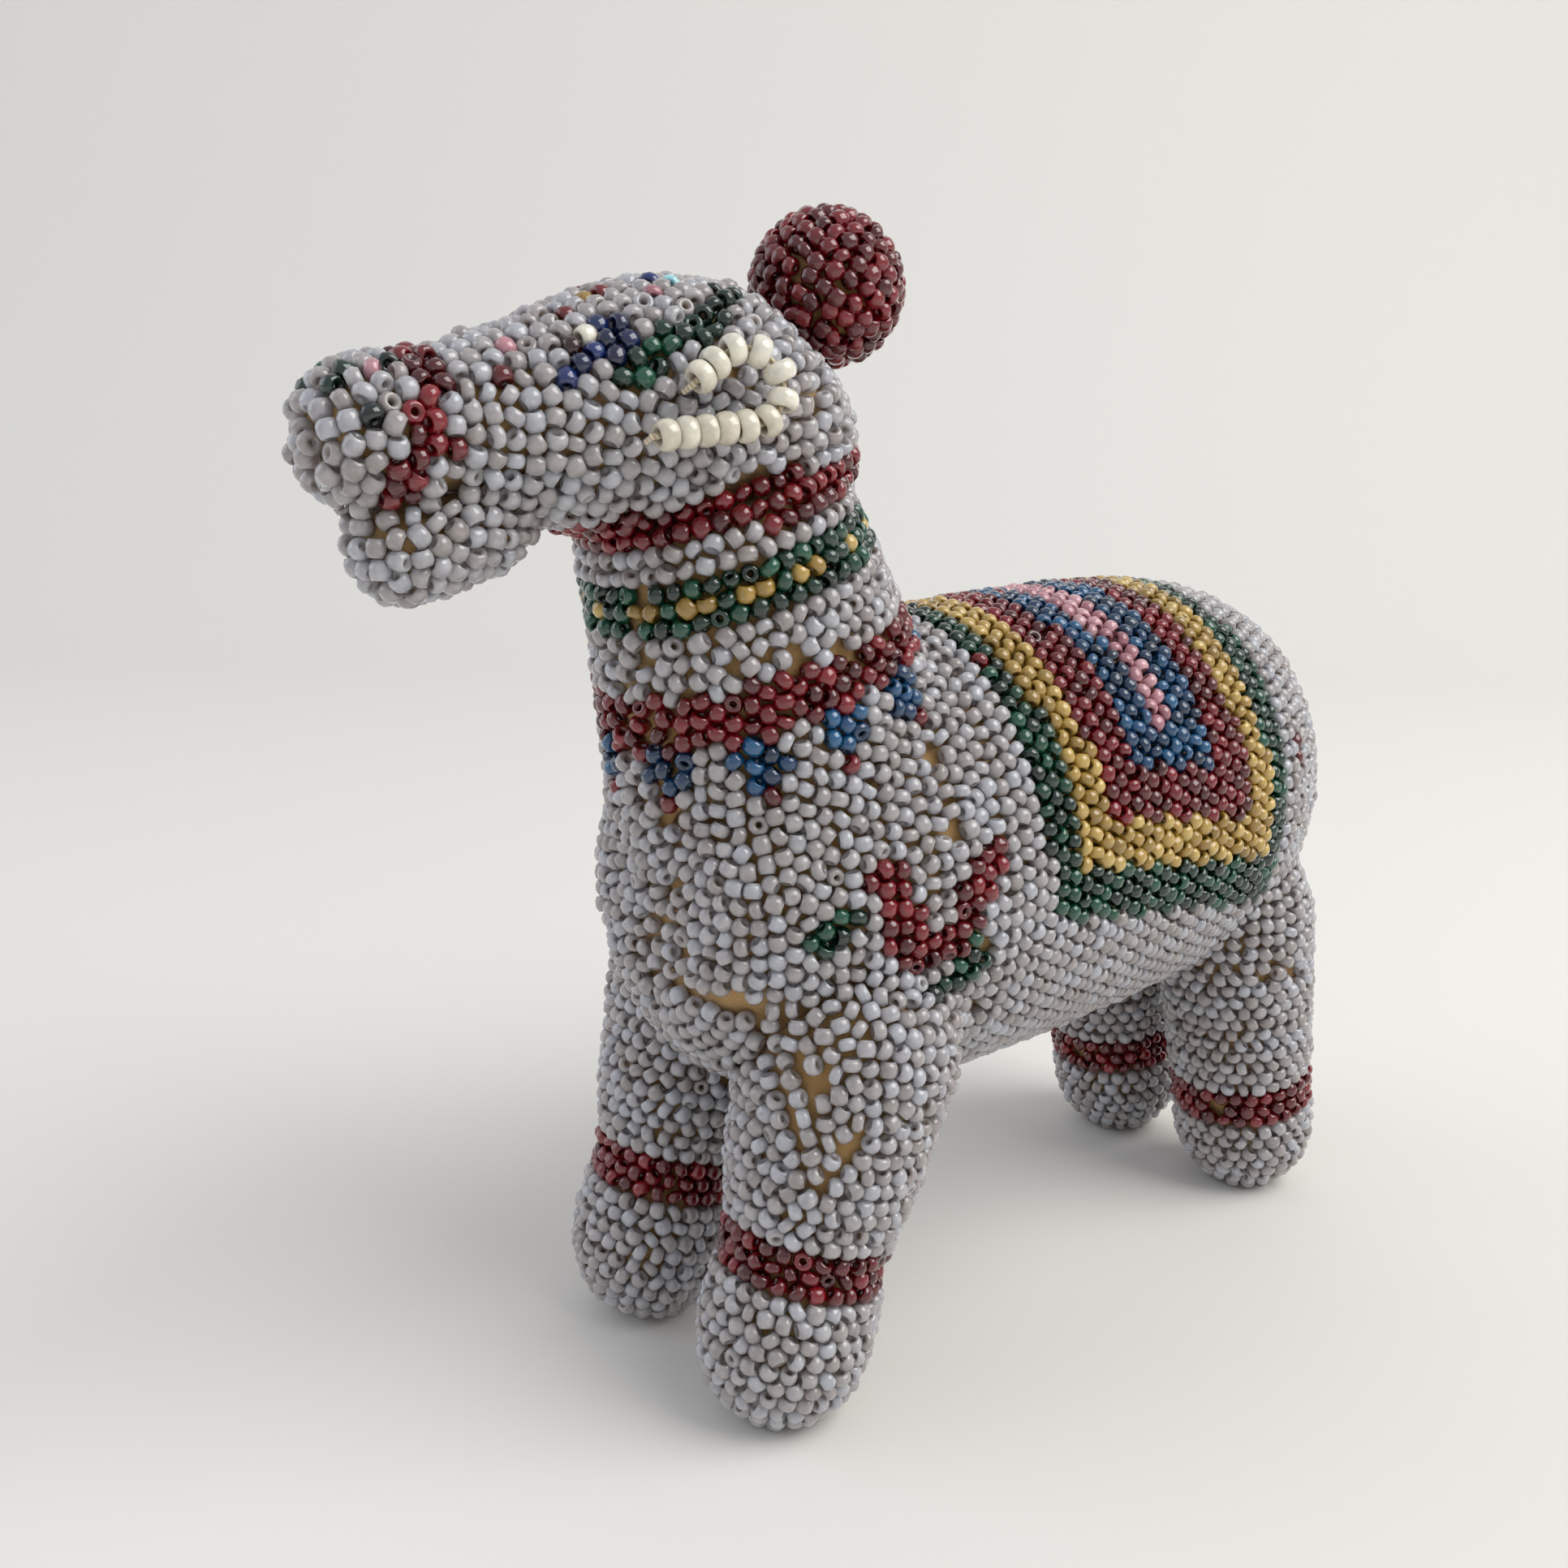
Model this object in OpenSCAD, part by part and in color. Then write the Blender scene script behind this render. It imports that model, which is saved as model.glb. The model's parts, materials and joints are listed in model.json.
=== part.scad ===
// Beaded animal: stuffed cotton forms covered with bead netting, a blanket and
// bands in colour, two loops of large white beads for ears and a bead pompon.
// The animal faces -Y, its left side is +X, and it stands on z = 0.

/* [Torso] */
// Length from chest to rump, over the beads
torso_len = 93; // [80:1:115]
// Width of the barrel
torso_w = 45.5; // [38:0.5:54]
// Height of the barrel
torso_h = 53; // [46:0.5:62]
// Clear height under the belly
belly_z = 27; // [22:0.5:34]
// Fall of the back towards the neck, in degrees
torso_fall = 3; // [0:0.5:6]

/* [Legs] */
// Diameter of a front hoof
front_hoof_d = 19; // [16:0.5:21]
// Diameter of a rear hoof
rear_hoof_d = 18.6; // [16:0.5:21]
// Distance between the front hooves' centres
front_track = 24.1; // [22.5:0.5:27]
// Distance between the rear hooves' centres
rear_track = 21.2; // [21:0.2:25]
// Diameter of a front leg where it meets the torso
front_leg_top_d = 23.4; // [20:0.2:24]
// Diameter of a rear leg where it meets the torso
rear_leg_top_d = 20.6; // [18:0.2:21]
// Rearward slope of the front legs, in degrees
front_rake = 15.5; // [8:0.5:18]
// Forward slope of the rear legs, in degrees
rear_rake = 11; // [5:0.5:14]
// Width of a red anklet
anklet_w = 5.2; // [3.5:0.1:7]
// Height of a front anklet above its hoof's centre, along the leg
front_anklet_at = 5.2; // [4:0.1:7]
// Height of a rear anklet above its hoof's centre, along the leg
rear_anklet_at = 3.2; // [2.5:0.1:5]

/* [Neck] */
// Length of the neck's axis, from inside the torso to inside the head
neck_len = 36; // [31:0.5:42]
// Width of the neck at its base
neck_base_w = 36; // [30:0.5:40]
// Width of the neck at its top
neck_top_w = 27; // [24:0.5:28]
// Forward lean of the neck, in degrees
neck_lean = 19; // [14:0.5:24]
// Height of the red collar above the neck's base, along the neck
collar_at = 14.5; // [12:0.5:18]
// Width of the red collar
collar_w = 5; // [3.5:0.1:6]
// Width of the round of blue flowers under the collar
flower_w = 4.4; // [3.5:0.1:6]
// Width of the pearl stripe over the collar
stripe_w = 5.4; // [3.5:0.1:6]
// Width of the green and yellow band
neck_band_w = 4.3; // [3.5:0.1:5]
// Width of the red throat strap
throat_w = 3.6; // [2.4:0.1:5]

/* [Head] */
// Length of the head, from the back of the skull to the end of the muzzle
head_len = 52.5; // [46:0.5:60]
// Width of the skull
skull_w = 27; // [25:0.5:32]
// Height of the skull
skull_h = 25; // [23:0.5:29]
// Width of the muzzle
muzzle_w = 16; // [13:0.5:19]
// Height of the muzzle
muzzle_h = 14; // [12:0.5:17]
// Length of the lower jaw
jaw_len = 17.5; // [14:0.5:19]
// Width of the lower jaw
jaw_w = 12.6; // [10:0.2:14]
// Width of the red noseband
noseband_w = 3; // [2.4:0.1:5]
// Diameter of an eye's patch of beads
eye_d = 8.4; // [6:0.2:10]

/* [Blanket] */
// Width of the pink stripe over the back
pink_w = 3.8; // [2.6:0.2:7]
// Width of the blue on each side of the pink
blue_w = 4.8; // [3:0.2:6]
// Width of the red on each side of the blue
red_w = 5.6; // [4:0.2:7]
// Width of the yellow on each side of the red
yellow_w = 4.6; // [3.4:0.2:6]
// Width of the green border on each side of the yellow
green_w = 4; // [3:0.2:6]
// Distance of the hem below the torso's middle height
hem_drop = 7.8; // [4:0.2:9]
// Height of the green at the hem
green_h = 5.8; // [3.6:0.2:7]
// Height of the yellow above the green
yellow_h = 5.2; // [3.6:0.2:7]
// Height of the red above the yellow
red_h = 5.6; // [3.6:0.2:7]
// Height of the blue above the red
blue_h = 3.8; // [3:0.2:6]
// Fall of the hem towards the rump, as a share of the distance
hem_fall = 0.14; // [0:0.01:0.2]
// Forward slope of the stripes, as a share of the height
stripe_slope = 0.1; // [0:0.01:0.15]

/* [Beads] */
// Thickness of the netting, which is one bead
net_t = 2; // [1.6:0.1:2.2]
// Clearance between pieces that lie against each other
gap = 0.06; // [0.04:0.01:0.1]
// Diameter of a white ear bead
ear_bead_d = 2.9; // [2.6:0.1:3.2]
// Length of an ear bead along its hole
ear_bead_len = 1.7; // [1.5:0.05:2]
// Diameter of the hole of an ear bead
ear_bead_hole = 0.95; // [0.9:0.05:1.1]
// Diameter of the ears' thread
thread_d = 0.55; // [0.4:0.05:0.6]
// Diameter of the pompon
pompon_d = 15.6; // [13:0.2:17]

/* [Hidden] */

COTTON = "burlywood";
PEARL = "gainsboro";
RED = "firebrick";
GREEN = "darkgreen";
BLUE = "navy";
YELLOW = "goldenrod";
PINK = "palevioletred";

sides = 24;          // facets round a form
disc_t = 0.02;       // thickness of the thin discs that a form is stretched over
far = 200;           // longer than the whole object

// Torso
torso_y = -2.2;
torso_z = belly_z + torso_h / 2;
torso_lean = 90 + torso_fall;
torso_steps = 12;
chest_power = 3.0;   // bluntness of the chest's curve
rump_power = 3.6;    // bluntness of the rump's curve
tip_share = 0.985;   // the curve stops here, in a small flat end
chest_y = torso_y - torso_len / 2;
rump_y = torso_y + torso_len / 2;

// Legs
front_inset = 8.4;   // hoof centres from the chest's and the rump's ends
rear_inset = 6;
sole_cut = 0.5;      // height of the hoof's round end that the flat sole takes off
leg_seat = 11.5;       // a leg is widest this far above the belly line
leg_crown = 9;       // and its top closes over this length, inside the torso
front_waist = 0.9;   // share of the hoof's width at the anklet
rear_waist = 0.985;
front_hoof_y = chest_y + front_inset;
rear_hoof_y = rump_y - rear_inset;
front_hoof_z = front_hoof_d / 2 - sole_cut;
rear_hoof_z = rear_hoof_d / 2 - sole_cut;
function leg_len(hoof_z, rake) = (belly_z + leg_seat - hoof_z) / cos(rake);

// Neck
neck_setback = 18.7; // neck's base behind the chest's end
neck_sink = 21;      // neck's base below the torso's top
neck_y = chest_y + neck_setback;
neck_z = torso_z + torso_h / 2 - neck_sink;
neck_top_y = neck_y - neck_len * sin(neck_lean);
neck_top_z = neck_z + neck_len * cos(neck_lean);
flower_at = collar_at - flower_w;
stripe_at = collar_at + collar_w;
neck_band_at = stripe_at + stripe_w;
upper_at = neck_band_at + neck_band_w;

// Head
head_lean = 94.6;    // the head looks forward and a little down
head_y = neck_top_y + 14.7;
head_z = neck_top_z + 7;
throat_slope = 14;   // degrees that the throat strap rises towards the nape
throat_y = neck_top_y;
throat_z = neck_top_z - 2.2;
throat_front = 20;   // the strap ends this far in front of the neck's axis, at the jaw
noseband_at = head_len - 8.5;
noseband_lean = 20;  // degrees that the noseband leans back over the nose
jaw_lean = 107;
jaw_h = 11.2;
jaw_setback = 19.5;  // the jaw's start, back from the muzzle's end
jaw_y = head_y - head_len + jaw_setback;
jaw_z = head_z - 9.2;
eye_at = 31;         // along the head
eye_turn = 42;       // degrees up from the side

// Blanket and shoulder patches
blanket_y = torso_y + 9.5;
hem_z = torso_z - hem_drop;
heart_y = chest_y + 19.5;
heart_z = torso_z - 1.5;
heart_arm_r = 2.2;
leaf_r = 1.7;

// Ears: each loop runs back from its lower end, turns up and forward, and runs on to its upper end
ear_at = 29;         // lower end, along the head
ear_drop = 1.9;      // below the head's axis
low_beads = 5;       // beads on the lower straight
high_beads = 2;      // and on the upper one
ear_turn = 214;       // degrees that the loop turns through
ear_turn_r = ear_bead_d * 1.1;
ear_lift = 20;       // degrees that the loop stands off the head at rest
ear_stand = 0.35;    // the thread's ends to the netting
ear_clear = 0.7;     // the nearest beads to the netting
ear_pitch = ear_bead_len + 0.04;
thread_run_d = thread_d * 0.94;  // the thread draws thinner on the straights
thread_end_d = thread_d * 0.85;  // and thinner again at its ends
run_lap = 0.1;       // each straight begins this far inside the turn
run_gap = 0.1;       // the last bead of a straight to the thread's bent end
ear_low_run = low_beads * ear_pitch + run_gap + thread_end_d / 2;
ear_high_run = high_beads * ear_pitch + run_gap + thread_end_d / 2;

// Pompon
pompon_at = 4.2;     // along the head
pompon_tip = 42;     // degrees that it leans back from the head's height
pompon_clear = 0.5;  // pompon to the netting
knot_clear = 0.35;   // knot to the netting
knot_play = 0.15;    // knot to the hollow in the pompon
knot_r = 1.1;
pompon_r = pompon_d / 2;

// Stations of a form: distance along its axis, half width, half height, offset of its centre
function barrel(n) = [for (i = [0:n])
    let (t = -cos(180 * i / n) * tip_share,
         p = t > 0 ? chest_power : rump_power,
         k = pow(1 - pow(abs(t), p), 1 / p))
    [t * torso_len / 2, torso_w / 2 * k, torso_h / 2 * k, 0]];

function leg(hoof_r, top_r, len, waist_at, waist) = concat(
    [for (a = [18:18:90]) [-hoof_r * cos(a), hoof_r * sin(a), hoof_r * sin(a), 0]],
    [[waist_at - 3.5, hoof_r * 0.985, hoof_r * 0.985, 0],
     [waist_at, hoof_r * waist, hoof_r * waist, 0],
     [len * 0.55, hoof_r + (top_r - hoof_r) * 0.4, hoof_r + (top_r - hoof_r) * 0.4, 0],
     [len, top_r, top_r, 0],
     [len + leg_crown * 0.5, top_r * 0.9, top_r * 0.9, 0],
     [len + leg_crown, top_r * 0.6, top_r * 0.6, 0]]);

function neck() = let (b = neck_base_w / 2, t = neck_top_w / 2) [
    [0, b, b * 1.08, 0],
    [neck_len * 0.25, b * 0.94, b * 1.02, 0],
    [neck_len * 0.5, b * 0.4 + t * 0.615, b * 0.45 + t * 0.62, 0],
    [neck_len * 0.75, b * 0.2 + t * 0.81, b * 0.2 + t * 0.82, 0],
    [neck_len, t, t, 0]];

function head() = let (w = skull_w / 2, h = skull_h / 2, m = muzzle_w / 2, k = muzzle_h / 2) [
    [0, w * 0.3, h * 0.32, -5],
    [2.5, w * 0.63, h * 0.56, -4.5],
    [7, w * 0.89, h * 0.76, -2.6],
    [13, w, h * 0.98, -0.4],
    [20, w, h, 0],
    [head_len * 0.53, w * 0.85, h * 0.87, 0],
    [head_len * 0.69, m * 1.12, k * 1.2, 0],
    [head_len * 0.78, m, k * 1.03, 0],
    [head_len * 0.91, m, k, 0],
    [head_len - 1, m * 0.81, k * 0.79, 0],
    [head_len, m * 0.5, k * 0.43, 0]];

function jaw() = let (w = jaw_w / 2, h = jaw_h / 2) [
    [0, w * 0.8, h * 0.94, 0],
    [jaw_len * 0.42, w, h, 0],
    [jaw_len * 0.8, w * 0.95, h, 0],
    [jaw_len, w * 0.55, h * 0.62, 0]];

// Half width and half height of a form at a distance along it
function half_at(stations, along, k) = lookup(along, [for (s = stations) [s[0], s[k]]]);

function grown(stations, g) = [for (i = [0:len(stations) - 1])
    let (s = stations[i], end = i == 0 ? -g : i == len(stations) - 1 ? g : 0)
    [s[0] + end, s[1] + g, s[2] + g, s[3]]];

// The origin lies under the middle of the box round the whole object
muzzle_y = head_y - head_len * sin(head_lean) - muzzle_h * 0.215 * abs(cos(head_lean));
rear_s = barrel(torso_steps)[0];
rump_end_y = torso_y - rear_s[0] * sin(torso_lean) + rear_s[2] * abs(cos(torso_lean));
rear_y = max(rump_end_y, rear_hoof_y + rear_hoof_d / 2);
origin_y = (muzzle_y + rear_y) / 2;

module placed() translate([0, -origin_y, 0]) children();

module disc(s) translate([0, s[3], s[0]]) scale([s[1], s[2], 1])
    cylinder(r = 1, h = disc_t, center = true, $fn = sides);

module stretched(stations) for (i = [0:len(stations) - 2]) hull() {
    disc(stations[i]);
    disc(stations[i + 1]);
}

// Frames of the forms
module torso_frame() translate([0, torso_y, torso_z]) rotate([torso_lean, 0, 0]) children();
module neck_frame() translate([0, neck_y, neck_z]) rotate([neck_lean, 0, 0]) children();
module head_frame() translate([0, head_y, head_z]) rotate([head_lean, 0, 0]) children();
module jaw_frame() translate([0, jaw_y, jaw_z]) rotate([jaw_lean, 0, 0]) children();
module front_leg_frame(side) translate([side * front_track / 2, front_hoof_y, front_hoof_z])
    rotate([-front_rake, 0, 0]) children();
module rear_leg_frame(side) translate([side * rear_track / 2, rear_hoof_y, rear_hoof_z])
    rotate([rear_rake, 0, 0]) children();

// The forms at a distance g out from the beads' outer surface
module torso_at(g) torso_frame() stretched(grown(barrel(torso_steps), g));
module neck_at(g) neck_frame() stretched(grown(neck(), g));
module head_at(g) head_frame() stretched(grown(head(), g));
module jaw_at(g) jaw_frame() stretched(grown(jaw(), g));
module front_leg_at(side, g) front_leg_frame(side) stretched(grown(leg(
    front_hoof_d / 2, front_leg_top_d / 2, leg_len(front_hoof_z, front_rake),
    front_anklet_at + anklet_w / 2, front_waist), g));
module rear_leg_at(side, g) rear_leg_frame(side) stretched(grown(leg(
    rear_hoof_d / 2, rear_leg_top_d / 2, leg_len(rear_hoof_z, rear_rake),
    rear_anklet_at + anklet_w / 2, rear_waist), g));

form = -net_t;          // surface of the cotton form
bed = -net_t + gap;     // underside of the netting that lies on it
clear = gap;            // outside of a neighbour's beads

// A slice of space along a frame's axis
module slice(from, to) translate([-far / 2, -far / 2, from]) cube([far, far, to - from]);

// Cotton forms
module torso_form() color(COTTON) placed() torso_at(form);

module neck_form() color(COTTON) placed() difference() {
    neck_at(form);
    torso_at(bed);
    head_at(bed);
}

module head_form() color(COTTON) placed() head_at(form);

module jaw_form() color(COTTON) placed() difference() {
    jaw_at(form);
    head_at(bed);
    neck_at(bed);
}

module front_leg_form(side) color(COTTON) placed() difference() {
    front_leg_at(side, form);
    torso_at(bed);
}

module rear_leg_form(side) color(COTTON) placed() difference() {
    rear_leg_at(side, form);
    torso_at(bed);
}

// Netting on the torso, cut back for the forms that pass through it
module torso_skin() difference() {
    torso_at(0);
    torso_at(bed);
    neck_at(bed);
    for (side = [-1, 1]) {
        front_leg_at(side, bed);
        rear_leg_at(side, bed);
    }
}

// The blanket's colours lie inside each other: each has its half width and its lower edge
half_pink = pink_w / 2;
half_blue = half_pink + blue_w;
half_red = half_blue + red_w;
half_yellow = half_red + yellow_w;
half_green = half_yellow + green_w;
low_green = 0;
low_yellow = low_green + green_h;
low_red = low_yellow + yellow_h;
low_blue = low_red + red_h;
low_pink = low_blue + blue_h;

module blanket_block(half, low, g) translate([0, blanket_y, hem_z])
    multmatrix([[1, 0, 0, 0], [0, 1, -stripe_slope, 0], [0, -hem_fall, 1, 0]])
    translate([-far / 2, -half - g, low - g]) cube([far, 2 * (half + g), far]);

module blanket_zone(half, low) intersection() {
    torso_skin();
    blanket_block(half, low, 0);
}

module blanket_pink() color(PINK) placed() blanket_zone(half_pink, low_pink);

module blanket_blue() color(BLUE) placed() difference() {
    blanket_zone(half_blue, low_blue);
    blanket_block(half_pink, low_pink, gap);
}

module blanket_red() color(RED) placed() difference() {
    blanket_zone(half_red, low_red);
    blanket_block(half_blue, low_blue, gap);
}

module blanket_yellow() color(YELLOW) placed() difference() {
    blanket_zone(half_yellow, low_yellow);
    blanket_block(half_red, low_red, gap);
}

module blanket_green() color(GREEN) placed() difference() {
    blanket_zone(half_green, low_green);
    blanket_block(half_yellow, low_yellow, gap);
}

// Shoulder patches, drawn on the torso's side as seen from the left: x is towards the rear, y is up
module stroke(a, b, r) hull() {
    translate(a) circle(r, $fn = 20);
    translate(b) circle(r, $fn = 20);
}

module heart_outline() translate([heart_y, heart_z]) {
    stroke([-4.4, 4.4], [-2.2, -2.4], heart_arm_r);
    stroke([-2.2, -2.8], [3, -3.6], heart_arm_r - 0.2);
    stroke([3, -3.6], [6.9, 4.6], heart_arm_r - 0.3);
}

module leaves_outline() translate([heart_y, heart_z]) {
    stroke([-10.8, -1.6], [-8.6, 0.2], leaf_r);
    stroke([1.6, -8.6], [6.6, -4.2], leaf_r);
}

// An outline carried sideways through one side of the torso
module sideways(side) multmatrix([[0, 0, side, 0], [1, 0, 0, 0], [0, 1, 0, 0]])
    linear_extrude(torso_w) children();

module shoulder_heart(side) color(RED) placed() intersection() {
    torso_skin();
    sideways(side) heart_outline();
}

module shoulder_leaves(side) color(GREEN) placed() difference() {
    intersection() {
        torso_skin();
        sideways(side) leaves_outline();
    }
    sideways(side) offset(gap) heart_outline();
}

module torso_net() color(PEARL) placed() difference() {
    torso_skin();
    blanket_block(half_green, low_green, gap);
    for (side = [-1, 1]) sideways(side) offset(gap) {
        heart_outline();
        leaves_outline();
    }
}

// Netting on the neck
module neck_skin() difference() {
    neck_at(0);
    neck_at(bed);
    torso_at(clear);
    head_at(clear);
}

module neck_round(from, to) intersection() {
    neck_skin();
    neck_frame() slice(from, to);
}

// Space from one height to another in the strap's slope, back from its front end
module throat_block(from, to, g) translate([0, throat_y, throat_z]) rotate([throat_slope, 0, 0])
    translate([-far / 2, -throat_front - g, from])
    cube([far, far, to - from]);

// Netting where the head and the neck run into each other
module nape_skin() difference() {
    union() {
        head_at(0);
        neck_at(0);
    }
    head_at(bed);
    neck_at(bed);
    jaw_at(clear);
    torso_at(clear);
}

module neck_net_lower() color(PEARL) placed() neck_round(-far, flower_at - gap);
module flower_round() color(BLUE) placed() neck_round(flower_at, collar_at - gap);
module collar() color(RED) placed() neck_round(collar_at, stripe_at - gap);
module neck_net_middle() color(PEARL) placed() neck_round(stripe_at, neck_band_at - gap);
module neck_band() color(GREEN) placed() neck_round(neck_band_at, upper_at - gap);

module neck_net_upper() color(PEARL) placed() intersection() {
    nape_skin();
    throat_block(-far, -throat_w / 2 - gap, 0);
    neck_frame() slice(upper_at, far);
}

// Netting on the head
module head_skin() difference() {
    head_at(0);
    head_at(bed);
    jaw_at(bed);
}

module throat_strap() color(RED) placed() intersection() {
    nape_skin();
    throat_block(-throat_w / 2, throat_w / 2, 0);
}

// Space round the head at the noseband's lean, from one distance past its rear edge to another
module noseband_slice(from, to) head_frame() translate([0, 0, noseband_at])
    rotate([-noseband_lean, 0, 0]) slice(from, to);

module eye_ball(side, g) head_frame() translate([
    side * half_at(head(), eye_at, 1) * cos(eye_turn),
    half_at(head(), eye_at, 2) * sin(eye_turn),
    eye_at
]) sphere(eye_d / 2 + g, $fn = 20);

module eye(side) color(BLUE) placed() intersection() {
    head_skin();
    eye_ball(side, 0);
}

module head_net() color(PEARL) placed() difference() {
    nape_skin();
    noseband_slice(-gap, far);
    throat_block(-far, throat_w / 2 + gap, gap);
    for (side = [-1, 1]) eye_ball(side, gap);
}

module noseband() color(RED) placed() difference() {
    intersection() {
        head_skin();
        noseband_slice(0, noseband_w);
    }
    jaw_at(clear);
}

module muzzle_net() color(PEARL) placed() difference() {
    intersection() {
        head_skin();
        noseband_slice(noseband_w + gap, far);
    }
    jaw_at(clear);
}

module jaw_net() color(PEARL) placed() difference() {
    jaw_at(0);
    jaw_at(bed);
    head_at(clear);
    neck_at(clear);
}

// Netting on the legs: the hoof, the anklet and the leg above it
module floor_block() translate([-far / 2, -far / 2, -far]) cube(far);

module front_leg_round(side, from, to) placed() difference() {
    intersection() {
        front_leg_at(side, 0);
        front_leg_frame(side) slice(from, to);
    }
    front_leg_at(side, bed);
    torso_at(clear);
    floor_block();
}

module rear_leg_round(side, from, to) placed() difference() {
    intersection() {
        rear_leg_at(side, 0);
        rear_leg_frame(side) slice(from, to);
    }
    rear_leg_at(side, bed);
    torso_at(clear);
    floor_block();
}

module front_hoof(side) color(PEARL) front_leg_round(side, -far, front_anklet_at - gap);
module front_anklet(side) color(RED)
    front_leg_round(side, front_anklet_at, front_anklet_at + anklet_w - gap);
module front_leg_net(side) color(PEARL) front_leg_round(side, front_anklet_at + anklet_w, far);
module rear_hoof(side) color(PEARL) rear_leg_round(side, -far, rear_anklet_at - gap);
module rear_anklet(side) color(RED)
    rear_leg_round(side, rear_anklet_at, rear_anklet_at + anklet_w - gap);
module rear_leg_net(side) color(PEARL) rear_leg_round(side, rear_anklet_at + anklet_w, far);

// Ears. The loop lies in a plane over its two ends, and turns about the line between them.
ear_top = [
    ear_low_run + ear_turn_r * sin(ear_turn) + ear_high_run * cos(ear_turn),
    ear_turn_r * (1 - cos(ear_turn)) + ear_high_run * sin(ear_turn)
];
ear_hinge = atan2(ear_top[1], ear_top[0]);
ear_x = max(half_at(head(), ear_at, 1), half_at(head(), ear_at - ear_top[0], 1)) + ear_stand;
ear_rise = ear_bead_d / 2 + ear_clear - ear_stand;

// A bead's profile: half lengths at three radii
bead_r = ear_bead_d / 2;
bore_r = ear_bead_hole / 2;
bead_h = ear_bead_len / 2;
lip_r = bore_r + 0.25;
shoulder_r = bead_r * 0.72;
rim_r = bead_r * 0.93;
shoulder_h = bead_h * 0.9;
rim_h = bead_h * 0.55;

// Beads on the turn stand as wedges, so they take more of the thread than on the straights
bead_wedge = 2 * max(
    atan(bead_h / (ear_turn_r - lip_r)),
    atan(shoulder_h / (ear_turn_r - shoulder_r)),
    atan(rim_h / (ear_turn_r - rim_r))
);
turn_beads = floor(ear_turn / bead_wedge);

// The plane's x runs back along the head, its y runs up, and its z points away from the head
module ear_frame(side) scale([side, 1, 1]) head_frame()
    translate([ear_x, -ear_drop, ear_at])
    multmatrix([[0, 0, 1, 0], [0, 1, 0, 0], [-1, 0, 0, 0]])
    rotate([0, 0, ear_hinge]) rotate([-ear_lift, 0, 0]) rotate([0, 0, -ear_hinge])
    translate([0, 0, ear_rise]) children();

// A bead is a ring with a rounded rim
module ear_bead() rotate_extrude($fn = 32) polygon([
    [bore_r, -shoulder_h], [lip_r, -bead_h], [shoulder_r, -shoulder_h], [rim_r, -rim_h],
    [bead_r, 0],
    [rim_r, rim_h], [shoulder_r, shoulder_h], [lip_r, bead_h], [bore_r, shoulder_h]
]);

// Puts its children on the loop's turn, this many degrees round it, with their y along the thread
module on_turn(angle) translate([ear_low_run, ear_turn_r, 0]) rotate([0, 0, angle - 90])
    translate([ear_turn_r, 0, 0]) children();

module ear_beads(side) color("ivory") placed() ear_frame(side) {
    for (i = [1:low_beads])
        translate([ear_low_run - (i - 0.5) * ear_pitch, 0, 0]) rotate([0, 90, 0]) ear_bead();
    for (i = [1:turn_beads]) on_turn((i - 0.5) * ear_turn / turn_beads) rotate([90, 0, 0]) ear_bead();
    on_turn(ear_turn) for (i = [1:high_beads])
        translate([0, (i - 0.5) * ear_pitch, 0]) rotate([90, 0, 0]) ear_bead();
}

// The thread's end, bent towards the head
module ear_thread_end() translate([0, 0, -ear_rise]) cylinder(d = thread_end_d, h = ear_rise, $fn = 24);

// A straight run of the thread along y, from just inside the turn to just past its bent end
module ear_thread_run(len) translate([0, -run_lap, 0]) rotate([-90, 0, 0])
    cylinder(d = thread_run_d, h = run_lap + len + thread_run_d / 2, $fn = 24);

module ear_thread(side) color(COTTON) placed() ear_frame(side) {
    ear_thread_end();
    translate([ear_low_run, 0, 0]) rotate([0, 0, 90]) ear_thread_run(ear_low_run);
    translate([ear_low_run, ear_turn_r, 0]) rotate([0, 0, -90])
        rotate_extrude(angle = ear_turn, $fn = 32) translate([ear_turn_r, 0]) circle(d = thread_d, $fn = 24);
    on_turn(ear_turn) ear_thread_run(ear_high_run);
    translate([ear_top[0], ear_top[1], 0]) ear_thread_end();
}

// Pompon. It rocks on a knot, in a hollow of its own underside.
module pompon_frame() head_frame()
    translate([0, half_at(head(), pompon_at, 2) + half_at(head(), pompon_at, 3), pompon_at])
    rotate([-pompon_tip, 0, 0]) children();
module pompon_ball(r) pompon_frame() translate([0, pompon_clear + pompon_r, 0]) sphere(r, $fn = 48);
module knot(r) pompon_frame() translate([0, knot_clear + knot_r, 0]) sphere(r, $fn = 32);

module pompon_knot() color(RED) placed() knot(knot_r);

module pompon_core() color(COTTON) placed() pompon_ball(pompon_r - net_t);

module pompon_beads() color(RED) placed() difference() {
    pompon_ball(pompon_r);
    pompon_ball(pompon_r - net_t + gap);
    knot(knot_r + knot_play);
    pompon_frame() rotate([90, 0, 0]) translate([0, 0, -knot_clear - knot_r])
        cylinder(r = knot_r + knot_play, h = pompon_r, $fn = 32);
}

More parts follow.
